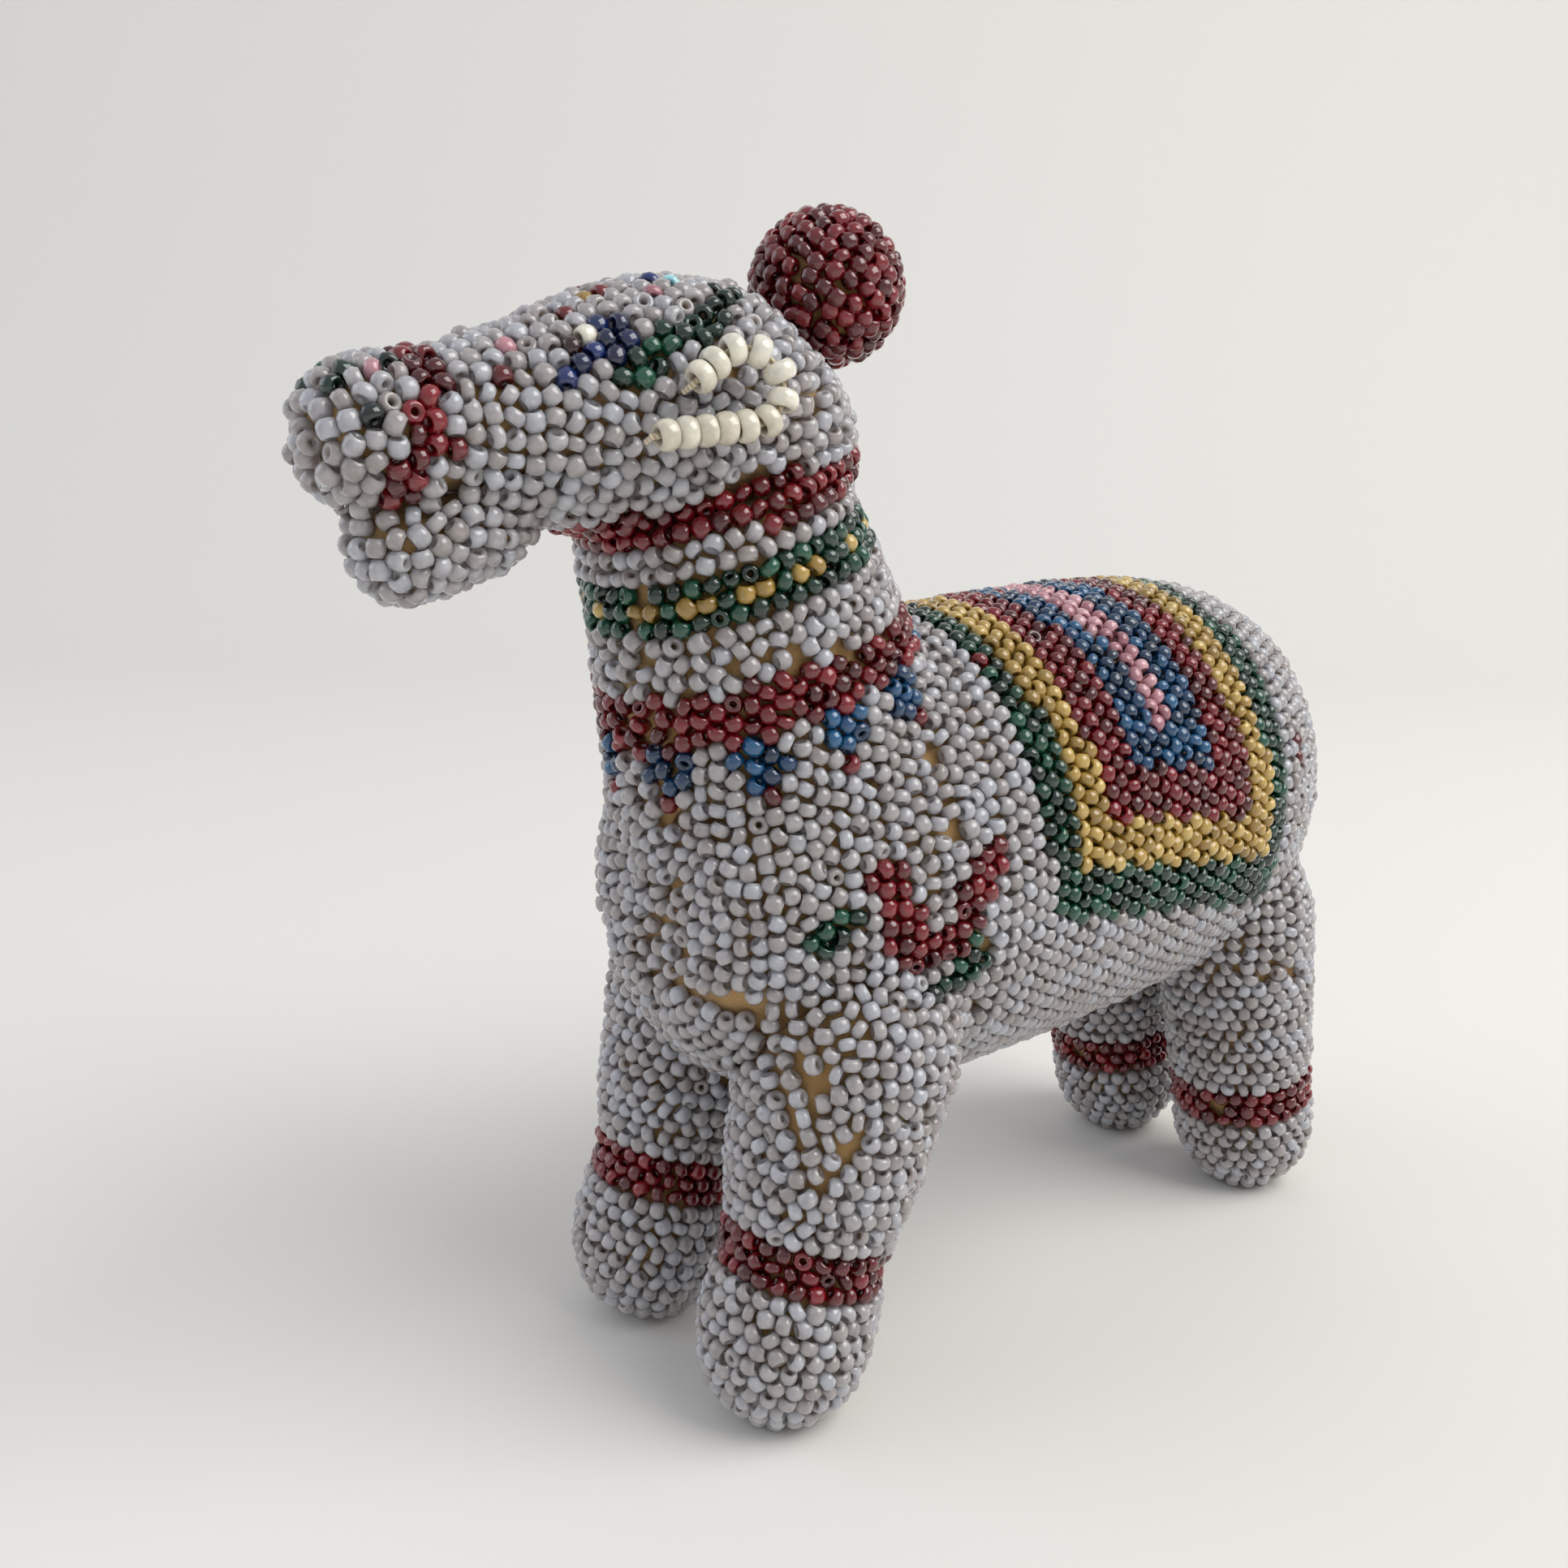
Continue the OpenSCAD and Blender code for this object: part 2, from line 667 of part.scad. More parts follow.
torso_form();
neck_form();
head_form();
jaw_form();
front_leg_form(1);  // left_front_leg_form
front_leg_form(-1);  // right_front_leg_form
rear_leg_form(1);  // left_rear_leg_form
rear_leg_form(-1);  // right_rear_leg_form
torso_net();
neck_net_lower();
neck_net_middle();
neck_net_upper();
head_net();
muzzle_net();
jaw_net();
front_leg_net(1);  // left_front_leg_net
front_leg_net(-1);  // right_front_leg_net
rear_leg_net(1);  // left_rear_leg_net
rear_leg_net(-1);  // right_rear_leg_net
front_anklet(1);  // left_front_anklet
front_anklet(-1);  // right_front_anklet
rear_anklet(1);  // left_rear_anklet
rear_anklet(-1);  // right_rear_anklet
front_hoof(1);  // left_front_hoof
front_hoof(-1);  // right_front_hoof
rear_hoof(1);  // left_rear_hoof
rear_hoof(-1);  // right_rear_hoof
blanket_pink();
blanket_blue();
blanket_red();
blanket_yellow();
blanket_green();
shoulder_heart(1);  // left_shoulder_heart
shoulder_heart(-1);  // right_shoulder_heart
shoulder_leaves(1);  // left_shoulder_leaves
shoulder_leaves(-1);  // right_shoulder_leaves
collar();
flower_round();
neck_band();
throat_strap();
noseband();
eye(1);  // left_eye
eye(-1);  // right_eye
ear_beads(1);  // left_ear_beads
ear_thread(1);  // left_ear_thread
ear_beads(-1);  // right_ear_beads
ear_thread(-1);  // right_ear_thread
pompon_knot();
pompon_core();
pompon_beads();
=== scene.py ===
import json
import math

import bmesh
import bpy
import numpy as np
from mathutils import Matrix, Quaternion, Vector, noise
from mathutils.bvhtree import BVHTree
from mathutils.kdtree import KDTree

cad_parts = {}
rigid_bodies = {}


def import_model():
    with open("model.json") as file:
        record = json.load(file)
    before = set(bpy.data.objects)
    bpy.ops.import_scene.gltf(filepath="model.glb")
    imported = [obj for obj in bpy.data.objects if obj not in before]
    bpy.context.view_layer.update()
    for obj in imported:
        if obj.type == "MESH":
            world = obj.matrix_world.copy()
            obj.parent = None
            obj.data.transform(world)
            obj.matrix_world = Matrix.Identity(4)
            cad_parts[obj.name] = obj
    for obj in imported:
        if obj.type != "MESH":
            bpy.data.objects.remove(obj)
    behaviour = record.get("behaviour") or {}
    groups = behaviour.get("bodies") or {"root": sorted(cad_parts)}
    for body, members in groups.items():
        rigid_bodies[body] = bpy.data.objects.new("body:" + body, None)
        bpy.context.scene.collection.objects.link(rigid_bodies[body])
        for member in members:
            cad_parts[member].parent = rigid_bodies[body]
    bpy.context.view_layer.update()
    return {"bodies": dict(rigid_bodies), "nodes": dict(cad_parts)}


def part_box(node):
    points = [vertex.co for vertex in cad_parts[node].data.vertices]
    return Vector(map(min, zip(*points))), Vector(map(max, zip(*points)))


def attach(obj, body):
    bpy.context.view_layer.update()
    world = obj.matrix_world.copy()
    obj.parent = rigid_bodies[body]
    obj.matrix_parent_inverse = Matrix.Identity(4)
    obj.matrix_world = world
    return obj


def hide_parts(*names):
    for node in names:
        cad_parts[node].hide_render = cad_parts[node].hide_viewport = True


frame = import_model()


# ---------------------------------------------------------------------------------------------------
# Stuffed forms: the torso, neck, head, lower jaw and four legs are tubes of tan cotton cloth, sewn
# shut round tight stuffing and sewn to each other. The cloth shows wherever the beads leave a gap.
MM = 0.001
CLOTH_VOXEL = 0.9 * MM
CLOTH_SMOOTHING = 8
CLOTH_PUCKER = 0.16 * MM     # how far the netting's stitches pull the cloth in and out
PUCKER_SIZE = 3.2 * MM
WEAVE_PITCH = 0.42 * MM      # cotton of this weight has 0.3 mm threads; drawn a little coarser to show
COTTON_TAN = "B48A50"
COTTON_SHADE = "8A6233"
COTTON_DUST = "C9A873"


def linear(hex_colour):
    """An sRGB colour in hex as the linear colour that a shader takes."""
    parts = [int(hex_colour[i:i + 2], 16) / 255 for i in (0, 2, 4)]
    return tuple(c / 12.92 if c <= 0.04045 else ((c + 0.055) / 1.055) ** 2.4 for c in parts) + (1.0,)


def add_node(tree, kind, inputs=None, **settings):
    """A shader node with its settings, and its inputs as values or as other nodes' outputs."""
    made = tree.nodes.new("ShaderNode" + kind)
    for name, value in settings.items():
        setattr(made, name, value)
    for name, value in (inputs or {}).items():
        if isinstance(value, bpy.types.NodeSocket):
            tree.links.new(value, made.inputs[name])
        else:
            made.inputs[name].default_value = value
    return made


def bare_material(name):
    """A material with an empty node tree."""
    made = bpy.data.materials.new(name)
    made.use_nodes = True
    made.node_tree.nodes.clear()
    return made, made.node_tree


def blend_colours(tree, share, low, high, how="MIX"):
    """The colour socket of a mix of two colours, each a value or a socket."""
    return add_node(tree, "Mix", {0: share, 6: low, 7: high}, data_type="RGBA", blend_type=how).outputs[2]


def cotton_cloth():
    """Plain-woven cotton, piece-dyed tan: matt, with a fine grid of threads and darker, rubbed patches."""
    made, tree = bare_material("cotton_cloth_plain_weave")
    place = add_node(tree, "TexCoord").outputs["Object"]
    threads = math.pi * 2 / (WEAVE_PITCH * 20)   # a wave texture's band is a twentieth of its unit
    warp = add_node(tree, "TexWave", {"Vector": place, "Scale": threads, "Distortion": 1.2,
                                      "Detail": 1.0, "Detail Scale": 0.8},
                    bands_direction="DIAGONAL").outputs["Fac"]
    weft = add_node(tree, "TexWave", {"Vector": place, "Scale": threads, "Distortion": 1.5,
                                      "Detail": 1.0, "Detail Scale": 0.9},
                    bands_direction="Z").outputs["Fac"]
    weave = add_node(tree, "Math", {0: warp, 1: weft}, operation="MULTIPLY").outputs[0]
    patches = add_node(tree, "TexNoise", {"Vector": place, "Scale": 260.0, "Detail": 4.0}).outputs["Fac"]
    ground = blend_colours(tree, patches, linear(COTTON_SHADE), linear(COTTON_DUST))
    colour = blend_colours(tree, weave, ground, linear(COTTON_TAN))
    bump = add_node(tree, "Bump", {"Height": weave, "Distance": 0.08 * MM, "Strength": 0.6})
    cloth = add_node(tree, "BsdfPrincipled", {
        "Base Color": colour, "Roughness": 0.92, "Sheen Weight": 0.25, "Sheen Roughness": 0.6,
        "Specular IOR Level": 0.25, "Normal": bump.outputs["Normal"]})
    add_node(tree, "OutputMaterial", {"Surface": cloth.outputs["BSDF"]})
    return made


def mesh_arrays(mesh):
    """A mesh's vertices, and its triangles as rows of three vertex numbers."""
    mesh.calc_loop_triangles()
    points = np.empty(len(mesh.vertices) * 3)
    mesh.vertices.foreach_get("co", points)
    corners = np.empty(len(mesh.loop_triangles) * 3, int)
    mesh.loop_triangles.foreach_get("vertices", corners)
    return points.reshape(-1, 3), corners.reshape(-1, 3)


def skin_over(name, nodes, voxel, smoothing):
    """One closed, smoothed skin over these CAD forms, as a new object."""
    whole = bmesh.new()
    for node in nodes:
        whole.from_mesh(frame["nodes"][node].data)
    mesh = bpy.data.meshes.new(name)
    whole.to_mesh(mesh)
    whole.free()
    skin = bpy.data.objects.new(name, mesh)
    bpy.context.scene.collection.objects.link(skin)
    remesh = skin.modifiers.new("remesh", "REMESH")
    remesh.mode = "VOXEL"
    remesh.voxel_size = voxel
    remesh.use_smooth_shade = True
    smooth = skin.modifiers.new("smooth", "SMOOTH")
    smooth.factor = 0.5
    smooth.iterations = smoothing
    made = bpy.data.meshes.new_from_object(skin.evaluated_get(bpy.context.evaluated_depsgraph_get()))
    made.name = name
    skin.modifiers.clear()
    skin.data = made
    return skin


def pucker(skin, depth, size, seed):
    """Moves a cloth skin in and out a little, as its stitches do."""
    shift = Vector((seed, 0, 0))
    ways = [vertex.normal.copy() for vertex in skin.data.vertices]
    for vertex, way in zip(skin.data.vertices, ways):
        vertex.co += way * depth * noise.noise(vertex.co / size + shift)


FORMS = sorted(n for n in frame["nodes"] if n.endswith("_form"))
cotton = cotton_cloth()
for number, node in enumerate(FORMS):
    cloth = skin_over(node.replace("_form", "_cloth"), [node], CLOTH_VOXEL, CLOTH_SMOOTHING)
    pucker(cloth, CLOTH_PUCKER, PUCKER_SIZE, number)
    cloth.data.materials.clear()
    cloth.data.materials.append(cotton)
    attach(cloth, "figure")
    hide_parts(node)


# ---------------------------------------------------------------------------------------------------
# Netting: glass seed beads, 2.1 mm across and 1.5 mm long, threaded on cotton and caught into each
# other in rings round each form, close and even on the torso and legs, looser on the neck and head.
BEAD_R = 1.02 * MM
BEAD_H = 0.74 * MM           # half its length
HOLE_R = 0.2 * MM
RING_PITCH = 1.84 * MM       # bead to bead along a ring
ROW_PITCH = 1.62 * MM        # ring to ring
GUIDE_VOXEL = 1.0 * MM
GUIDE_SMOOTHING = 18
CLOSEST = 1.32 * MM          # two beads nearer than this would be one in the other
HOLE_IN_NET = 1.55 * MM      # a spot further than this from every bead takes one more
SPREAD = 1.78 * MM           # beads nearer than this push each other along the thread
rng = np.random.default_rng(24)

# Each form's axis: a point on it, its lean back from upright in degrees, how far it runs each way
# from the point, and how far from it the form's own netting can be. Millimetres, in the row frame.
LIMBS = {
    "torso": ((0, 13.8, 53.5), 93, (-48, 48), 29.5),
    "neck": ((0, -14, 59), 19, (-2, 36), 21),
    "head": ((0, -11, 100), 94.6, (-2, 54), 15.5),
    "jaw": ((0, -44, 90.8), 107, (-1, 19.5), 9.2),
    "left_front_leg": ((12.05, -24.3, 9), -15.5, (-10.4, 34), 14.5),
    "right_front_leg": ((-12.05, -24.3, 9), -15.5, (-10.4, 34), 14.5),
    "left_rear_leg": ((10.6, 54.3, 8.8), 11, (-10.2, 32), 13.5),
    "right_rear_leg": ((-10.6, 54.3, 8.8), 11, (-10.2, 32), 13.5),
}


def limb_axes(limb):
    """A limb's point, its axis, and the upward direction at right angles to both it and X."""
    point, lean, _, _ = LIMBS[limb]
    lean = math.radians(lean)
    axis = Vector((0, -math.sin(lean), math.cos(lean)))
    return Vector(point) * MM, axis, Vector((0, math.cos(lean), math.sin(lean)))


guide = skin_over("netting_guide", FORMS, GUIDE_VOXEL, GUIDE_SMOOTHING)
for vertex, way in [(v, v.normal.copy()) for v in guide.data.vertices]:
    vertex.co += way * BEAD_R
guide_points, guide_corners = mesh_arrays(guide.data)
bpy.data.objects.remove(guide)
guide_tree = BVHTree.FromPolygons([Vector(p) for p in guide_points], guide_corners.tolist())


def reach_at(limb, along, angle):
    """Where a line out from a limb's axis meets the skin, or None past the limb's own skin."""
    point, axis, up = limb_axes(limb)
    start = point + axis * along
    way = Vector((math.cos(angle), 0, 0)) + up * math.sin(angle)
    hit, _, _, distance = guide_tree.ray_cast(start, way, 0.2)
    return None if hit is None or distance > LIMBS[limb][3] * MM else hit


def ring_stations(limb):
    """Distances along a limb's axis that put its rings a row apart on the skin."""
    low, high = (v * MM for v in LIMBS[limb][2])
    fine = np.arange(low, high, 0.25 * MM)
    stations, walked, last = [], ROW_PITCH / 2, None
    point, axis, up = limb_axes(limb)
    for along in fine:
        hits = [reach_at(limb, along, a) for a in np.arange(0, 2 * math.pi, math.pi / 4)]
        radii = [(h - point - axis * along).length for h in hits if h is not None]
        if not radii:
            continue
        radius = float(np.median(radii))
        if last is not None:
            walked += math.hypot(along - last[0], radius - last[1])
        last = (along, radius)
        if walked >= ROW_PITCH:
            stations.append(along)
            walked -= ROW_PITCH
    return stations


def ring_of_beads(limb, along, count, half_step):
    """One ring's places, evenly spaced round the skin; count is kept while it still fits."""
    angles = np.linspace(-math.pi / 2, 1.5 * math.pi, 121)
    point, axis, up = limb_axes(limb)
    reach = LIMBS[limb][3] * MM
    hits = [reach_at(limb, along, a) for a in angles]
    path = []
    for angle, hit in zip(angles, hits):
        way = Vector((math.cos(angle), 0, 0)) + up * math.sin(angle)
        path.append(point + axis * along + way * reach if hit is None else hit)
    path = np.array(path)
    steps = np.r_[0, np.cumsum(np.linalg.norm(np.diff(path, axis=0), axis=1))]
    fitting = max(3, round(steps[-1] / RING_PITCH))
    if not count or abs(fitting - count) > 0.05 * count:
        count = fitting
    found = []
    for k in range(count):
        walked = (k + half_step / 2) * steps[-1] / count
        i = min(int(np.searchsorted(steps, walked)), len(path) - 1)
        if hits[i] is not None and hits[max(i - 1, 0)] is not None:
            share = (walked - steps[i - 1]) / (steps[i] - steps[i - 1]) if i else 0
            found.append(Vector(path[max(i - 1, 0)] * (1 - share) + path[i] * share))
    return found, count


def tree_of(places):
    """A search tree of places."""
    tree = KDTree(len(places))
    for i, place in enumerate(places):
        tree.insert(place, i)
    tree.balance()
    return tree


class Cells:
    """Places kept by the cube they are in, so that near ones are found while more are added."""

    def __init__(self, size):
        self.size = size
        self.held = {}

    def key(self, place):
        return tuple(int(math.floor(c / self.size)) for c in place)

    def near(self, place, distance):
        x, y, z = self.key(place)
        return any((place - other).length < distance
                   for i in (x - 1, x, x + 1) for j in (y - 1, y, y + 1) for k in (z - 1, z, z + 1)
                   for other in self.held.get((i, j, k), ()))

    def add(self, place):
        self.held.setdefault(self.key(place), []).append(place)


def net_places():
    """Every bead's place on the skin, its limb and its row: rings first, then what they leave open."""
    places, limbs, rows = [], [], []
    cells = Cells(2 * MM)
    for limb in LIMBS:
        count = 0
        for row, along in enumerate(ring_stations(limb)):
            ring, count = ring_of_beads(limb, along, count, row % 2)
            for place in ring:
                place = guide_tree.find_nearest(place)[0]
                if not cells.near(place, CLOSEST):
                    cells.add(place)
                    places.append(place)
                    limbs.append(limb)
                    rows.append(row)
    near = tree_of(places)
    for spot in rng.permutation(guide_points):
        spot = Vector(spot)
        if not cells.near(spot, HOLE_IN_NET):
            cells.add(spot)
            places.append(spot)
            limbs.append(limbs[near.find(spot)[1]])
            rows.append(int(rng.integers(2)))
    return places, limbs, rows


def settled(places, rounds):
    """The places after beads that crowd each other have moved apart along the skin."""
    for _ in range(rounds):
        tree = tree_of(places)
        moved = []
        for i, place in enumerate(places):
            push = Vector((0, 0, 0))
            for other, j, distance in tree.find_range(place, SPREAD):
                if j != i and distance > 1e-7:
                    push += (place - other) * (SPREAD - distance) / distance * 0.35
            moved.append(guide_tree.find_nearest(place + push)[0])
        places = moved
    return places


places, bead_limb, bead_row = net_places()
places = settled(places, 8)
place = np.array(places)
outward = np.array([guide_tree.find_nearest(p)[1] for p in places])
bead_limb = np.array(bead_limb)
bead_row = np.array(bead_row)

# Each bead belongs to the net, band or patch of the CAD model that it lies in
NETS = [name for name, node in frame["nodes"].items()
        if not name.endswith("_form") and node.parent is frame["bodies"]["figure"]]
net_points, net_corners, net_owner = [], [], []
for number, node in enumerate(NETS):
    points, corners = mesh_arrays(frame["nodes"][node].data)
    net_corners += (corners + len(net_points)).tolist()
    net_points += points.tolist()
    net_owner += [number] * len(corners)
net_tree = BVHTree.FromPolygons(net_points, net_corners)
bead_node = np.array([NETS[net_owner[net_tree.find_nearest(Vector(p))[2]]] for p in place])
# A bead's place in its limb's own measure: millimetres along, and degrees round from its left side
along = np.zeros(len(place))
turned = np.zeros(len(place))
ring_way = np.zeros((len(place), 3))
for limb in LIMBS:
    point, axis, up = (np.array(v) for v in limb_axes(limb))
    mine = bead_limb == limb
    off = place[mine] - point
    along[mine] = off @ axis / MM
    turned[mine] = np.degrees(np.arctan2(off @ up, off[:, 0]))
    ring_way[mine] = np.cross(axis, outward[mine])
ring_way /= np.maximum(np.linalg.norm(ring_way, axis=1, keepdims=True), 1e-9)


# ---------------------------------------------------------------------------------------------------
# Seed beads: cut from drawn glass cane and tumbled hot, so each is a ring with soft shoulders, no two
# quite alike. They lie on their sides along the thread; on the neck and head some turn face out.
AROUND, PROFILE = 12, 8
LOOSE = {"neck": 1.0, "head": 1.0, "jaw": 1.0, "torso": 0.25, "left_front_leg": 0.7, "right_front_leg": 0.7,
         "left_rear_leg": 0.4, "right_rear_leg": 0.4}
LOOSE_CHEST_Y = -5 * MM      # the netting on the chest is as loose as the neck's
ZIGZAG = 38                  # degrees that beads lean from their ring, each row the other way
FACE_OUT_SHARE = 0.03
SIZE_SPREAD = 0.045
LENGTH_SPREAD = 0.12


def ring_bead(radius, half_length, hole_radius, around=AROUND, profile=PROFILE):
    """A bead's points with its hole along Z, its faces, and how near the hole each point is, 0 to 1."""
    middle = (radius + hole_radius) / 2
    wall = (radius - hole_radius) / 2
    t = np.arange(profile) * 2 * math.pi / profile + math.pi / profile
    r = middle + wall * np.cos(t)
    z = half_length * np.sin(t)
    a = np.arange(around) * 2 * math.pi / around
    points = np.stack([np.outer(np.cos(a), r), np.outer(np.sin(a), r), np.tile(z, (around, 1))], 2)
    i, j = np.meshgrid(np.arange(around), np.arange(profile), indexing="ij")
    i2, j2 = (i + 1) % around, (j + 1) % profile
    faces = np.stack([i * profile + j, i2 * profile + j, i2 * profile + j2, i * profile + j2], 2)
    near_hole = np.tile((radius - r) / (radius - hole_radius), (around, 1))
    corner_u = np.stack([i, i + 1, i + 1, i], 2) / around
    corner_v = np.stack([j, j, j + 1, j + 1], 2) / profile
    uv = np.stack([corner_u, corner_v], 3)
    return points.reshape(-1, 3), faces.reshape(-1, 4), near_hole.ravel(), uv.reshape(-1, 2)


def turned_about(way, axis, degrees):
    """Each way turned about its axis, both rows of unit vectors."""
    a = np.radians(degrees)[:, None]
    return way * np.cos(a) + np.cross(axis, way) * np.sin(a)


def bead_piece(name, centres, holes, sizes, lengths, tints, glass, shape):
    """A piece of many beads: each at its centre, its hole along its own way, with its own size."""
    points, faces, near_hole, uv = shape
    n = len(centres)
    side = np.cross(holes, [0.31, 0.52, 0.8])
    side /= np.linalg.norm(side, axis=1, keepdims=True)
    other = np.cross(holes, side)
    turn = np.stack([side, other, holes], 1) * np.stack([sizes, sizes * 0.97, lengths], 1)[:, :, None]
    verts = np.einsum("pk,nkc->npc", points, turn) + centres[:, None, :]
    quads = faces[None] + (np.arange(n) * len(points))[:, None, None]
    mesh = bpy.data.meshes.new(name)
    mesh.vertices.add(n * len(points))
    mesh.vertices.foreach_set("co", verts.ravel())
    mesh.loops.add(quads.size)
    mesh.loops.foreach_set("vertex_index", quads.ravel())
    mesh.polygons.add(n * len(faces))
    mesh.polygons.foreach_set("loop_start", np.arange(0, quads.size, 4))
    mesh.polygons.foreach_set("use_smooth", np.ones(n * len(faces), bool))
    mesh.attributes.new("tint", "FLOAT", "POINT").data.foreach_set("value", np.repeat(tints, len(points)))
    mesh.attributes.new("near_hole", "FLOAT", "POINT").data.foreach_set("value", np.tile(near_hole, n))
    # Each bead has its own square of the map, with a margin round it
    squares = math.ceil(math.sqrt(n))
    corner = np.stack([np.arange(n) % squares, np.arange(n) // squares], 1) / squares
    flat = corner[:, None, :] + (0.08 + 0.84 * uv[None]) / squares
    mesh.uv_layers.new(name="OFBake").uv.foreach_set("vector", flat.ravel())
    mesh.update()
    mesh.validate()
    piece = bpy.data.objects.new(name, mesh)
    bpy.context.scene.collection.objects.link(piece)
    mesh.materials.append(glass)
    return piece


def bead_glass(name, deep, body, light, glow, glow_reach, clear=0.0, core="6B4A2A", hole_shade_share=0.75):
    """Glass of one colour: three shades that beads vary between, how far light spreads in it, how clear, and a
    core colour painted towards the hole as painted shade.
    """
    made, tree = bare_material(name)
    tint = add_node(tree, "Attribute", attribute_name="tint").outputs["Fac"]
    hole = add_node(tree, "Attribute", attribute_name="near_hole").outputs["Fac"]
    low = add_node(tree, "MapRange", {"Value": tint, "From Min": 0.0, "From Max": 0.5})
    high = add_node(tree, "MapRange", {"Value": tint, "From Min": 0.5, "From Max": 1.0})
    lower = blend_colours(tree, low.outputs["Result"], linear(deep), linear(body))
    colour = blend_colours(tree, high.outputs["Result"], lower, linear(light))
    place = add_node(tree, "TexCoord").outputs["Object"]
    streaks = add_node(tree, "TexNoise", {"Vector": place, "Scale": 900.0, "Detail": 2.0}).outputs["Fac"]
    shade = add_node(tree, "MapRange", {"Value": streaks, "From Min": 0.3, "From Max": 0.7,
                                        "To Min": 0.84, "To Max": 1.12}).outputs["Result"]
    colour = blend_colours(tree, 1.0, colour, shade, "MULTIPLY")
    # Painted shade: nearer the hole the colour is mixed into the dark core colour, standing in for the shade in
    # the hole's recess.
    inside = add_node(tree, "MapRange", {"Value": hole, "From Min": 0.45, "From Max": 1.0,
                                         "To Max": hole_shade_share}).outputs["Result"]
    colour = blend_colours(tree, inside, colour, linear(core))
    bump = add_node(tree, "Bump", {"Height": streaks, "Distance": 0.05 * MM, "Strength": 0.35})
    body_glass = add_node(tree, "BsdfPrincipled", {
        "Base Color": colour, "Roughness": 0.12, "IOR": 1.52, "Transmission Weight": clear,
        "Normal": bump.outputs["Normal"],
        "Subsurface Weight": glow, "Subsurface Scale": glow_reach[0] * MM,
        "Subsurface Radius": [r / glow_reach[0] for r in glow_reach],
        "Coat Weight": 0.8, "Coat Roughness": 0.03})
    add_node(tree, "OutputMaterial", {"Surface": body_glass.outputs["BSDF"]})
    return made


seed_bead = ring_bead(BEAD_R, BEAD_H, HOLE_R)
count = len(place)
loose = np.array([LOOSE[limb] for limb in bead_limb])
loose[(bead_limb == "torso") & (place[:, 1] < LOOSE_CHEST_Y)] = 0.9
way_sign = np.where(bead_row % 2 == 0, 1.0, -1.0)
lean = way_sign * ZIGZAG + rng.normal(0, 1, count) * (8 + 55 * loose)
hole_way = turned_about(ring_way, outward, lean)
tilt = rng.normal(0, 1, count) * (5 + 9 * loose)
face_out = rng.random(count) < FACE_OUT_SHARE * loose
tilt[face_out] = rng.uniform(55, 90, face_out.sum())
tilt_axis = np.cross(outward, hole_way)
tilt_axis /= np.linalg.norm(tilt_axis, axis=1, keepdims=True)
hole_way = turned_about(hole_way, tilt_axis, tilt)
stand = np.abs(np.sum(hole_way * outward, axis=1))
height = (BEAD_H - BEAD_R) * stand + rng.normal(0, 0.07, count) * MM * (0.5 + loose)
centre = place + outward * height[:, None]
centre[:, 2] = np.maximum(centre[:, 2], BEAD_R)
size = 1 + rng.normal(0, SIZE_SPREAD, count).clip(-0.1, 0.1)
length = 1 + rng.normal(0, LENGTH_SPREAD, count).clip(-0.22, 0.25)
tint = rng.random(count)
used = np.zeros(count, bool)


def net_piece(name, picked, glass, slot, *nodes):
    """A piece of the netting: the picked beads that no piece has yet, standing for these CAD nodes."""
    picked = picked & ~used
    used[picked] = True
    piece = bead_piece(name, centre[picked], hole_way[picked], size[picked], length[picked], tint[picked],
                       glass, seed_bead)
    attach(piece, "figure")
    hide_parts(*nodes)
    return piece


def skin_spot(limb, along_mm, degrees):
    """The spot on a form's skin at this distance along it and this many degrees round it."""
    point, axis, up = limb_axes(limb)
    way = Vector((math.cos(math.radians(degrees)), 0, 0)) + up * math.sin(math.radians(degrees))
    return guide_tree.ray_cast(point + axis * along_mm * MM, way, 0.2)[0]


bead_tree = tree_of(places)


def bead_nearest(spots):
    """The bead nearest each spot, as a mask over all beads."""
    mask = np.zeros(count, bool)
    for spot in spots:
        mask[bead_tree.find(spot)[1]] = True
    return mask


def both_sides(spots):
    """Spots given as (along, degrees) on the head's left side, and the same on its right."""
    return [skin_spot("head", a, d) for a, d in spots] + [skin_spot("head", a, 180 - d) for a, d in spots]


def beads_near_line(stops, width):
    """The beads within this width of a line through these points, in metres, as a mask."""
    mask = np.zeros(count, bool)
    stops = np.array(stops)
    for a, b in zip(stops, stops[1:]):
        share = ((place - a) @ (b - a) / max((b - a) @ (b - a), 1e-12)).clip(0, 1)
        mask |= np.linalg.norm(place - a - share[:, None] * (b - a), axis=1) < width
    return mask


# ---------------------------------------------------------------------------------------------------
# Bare spots: low on the chest, and here and there, beads have come off and the cotton shows.
BARE = [((8, -29, 44), (4.5, 4, 1.5))]      # centre and half sizes, millimetres
for middle, half in BARE:
    off = (place / MM - middle) / half
    used |= (off ** 2).sum(1) < 1
used |= rng.random(count) < 0.008 * loose
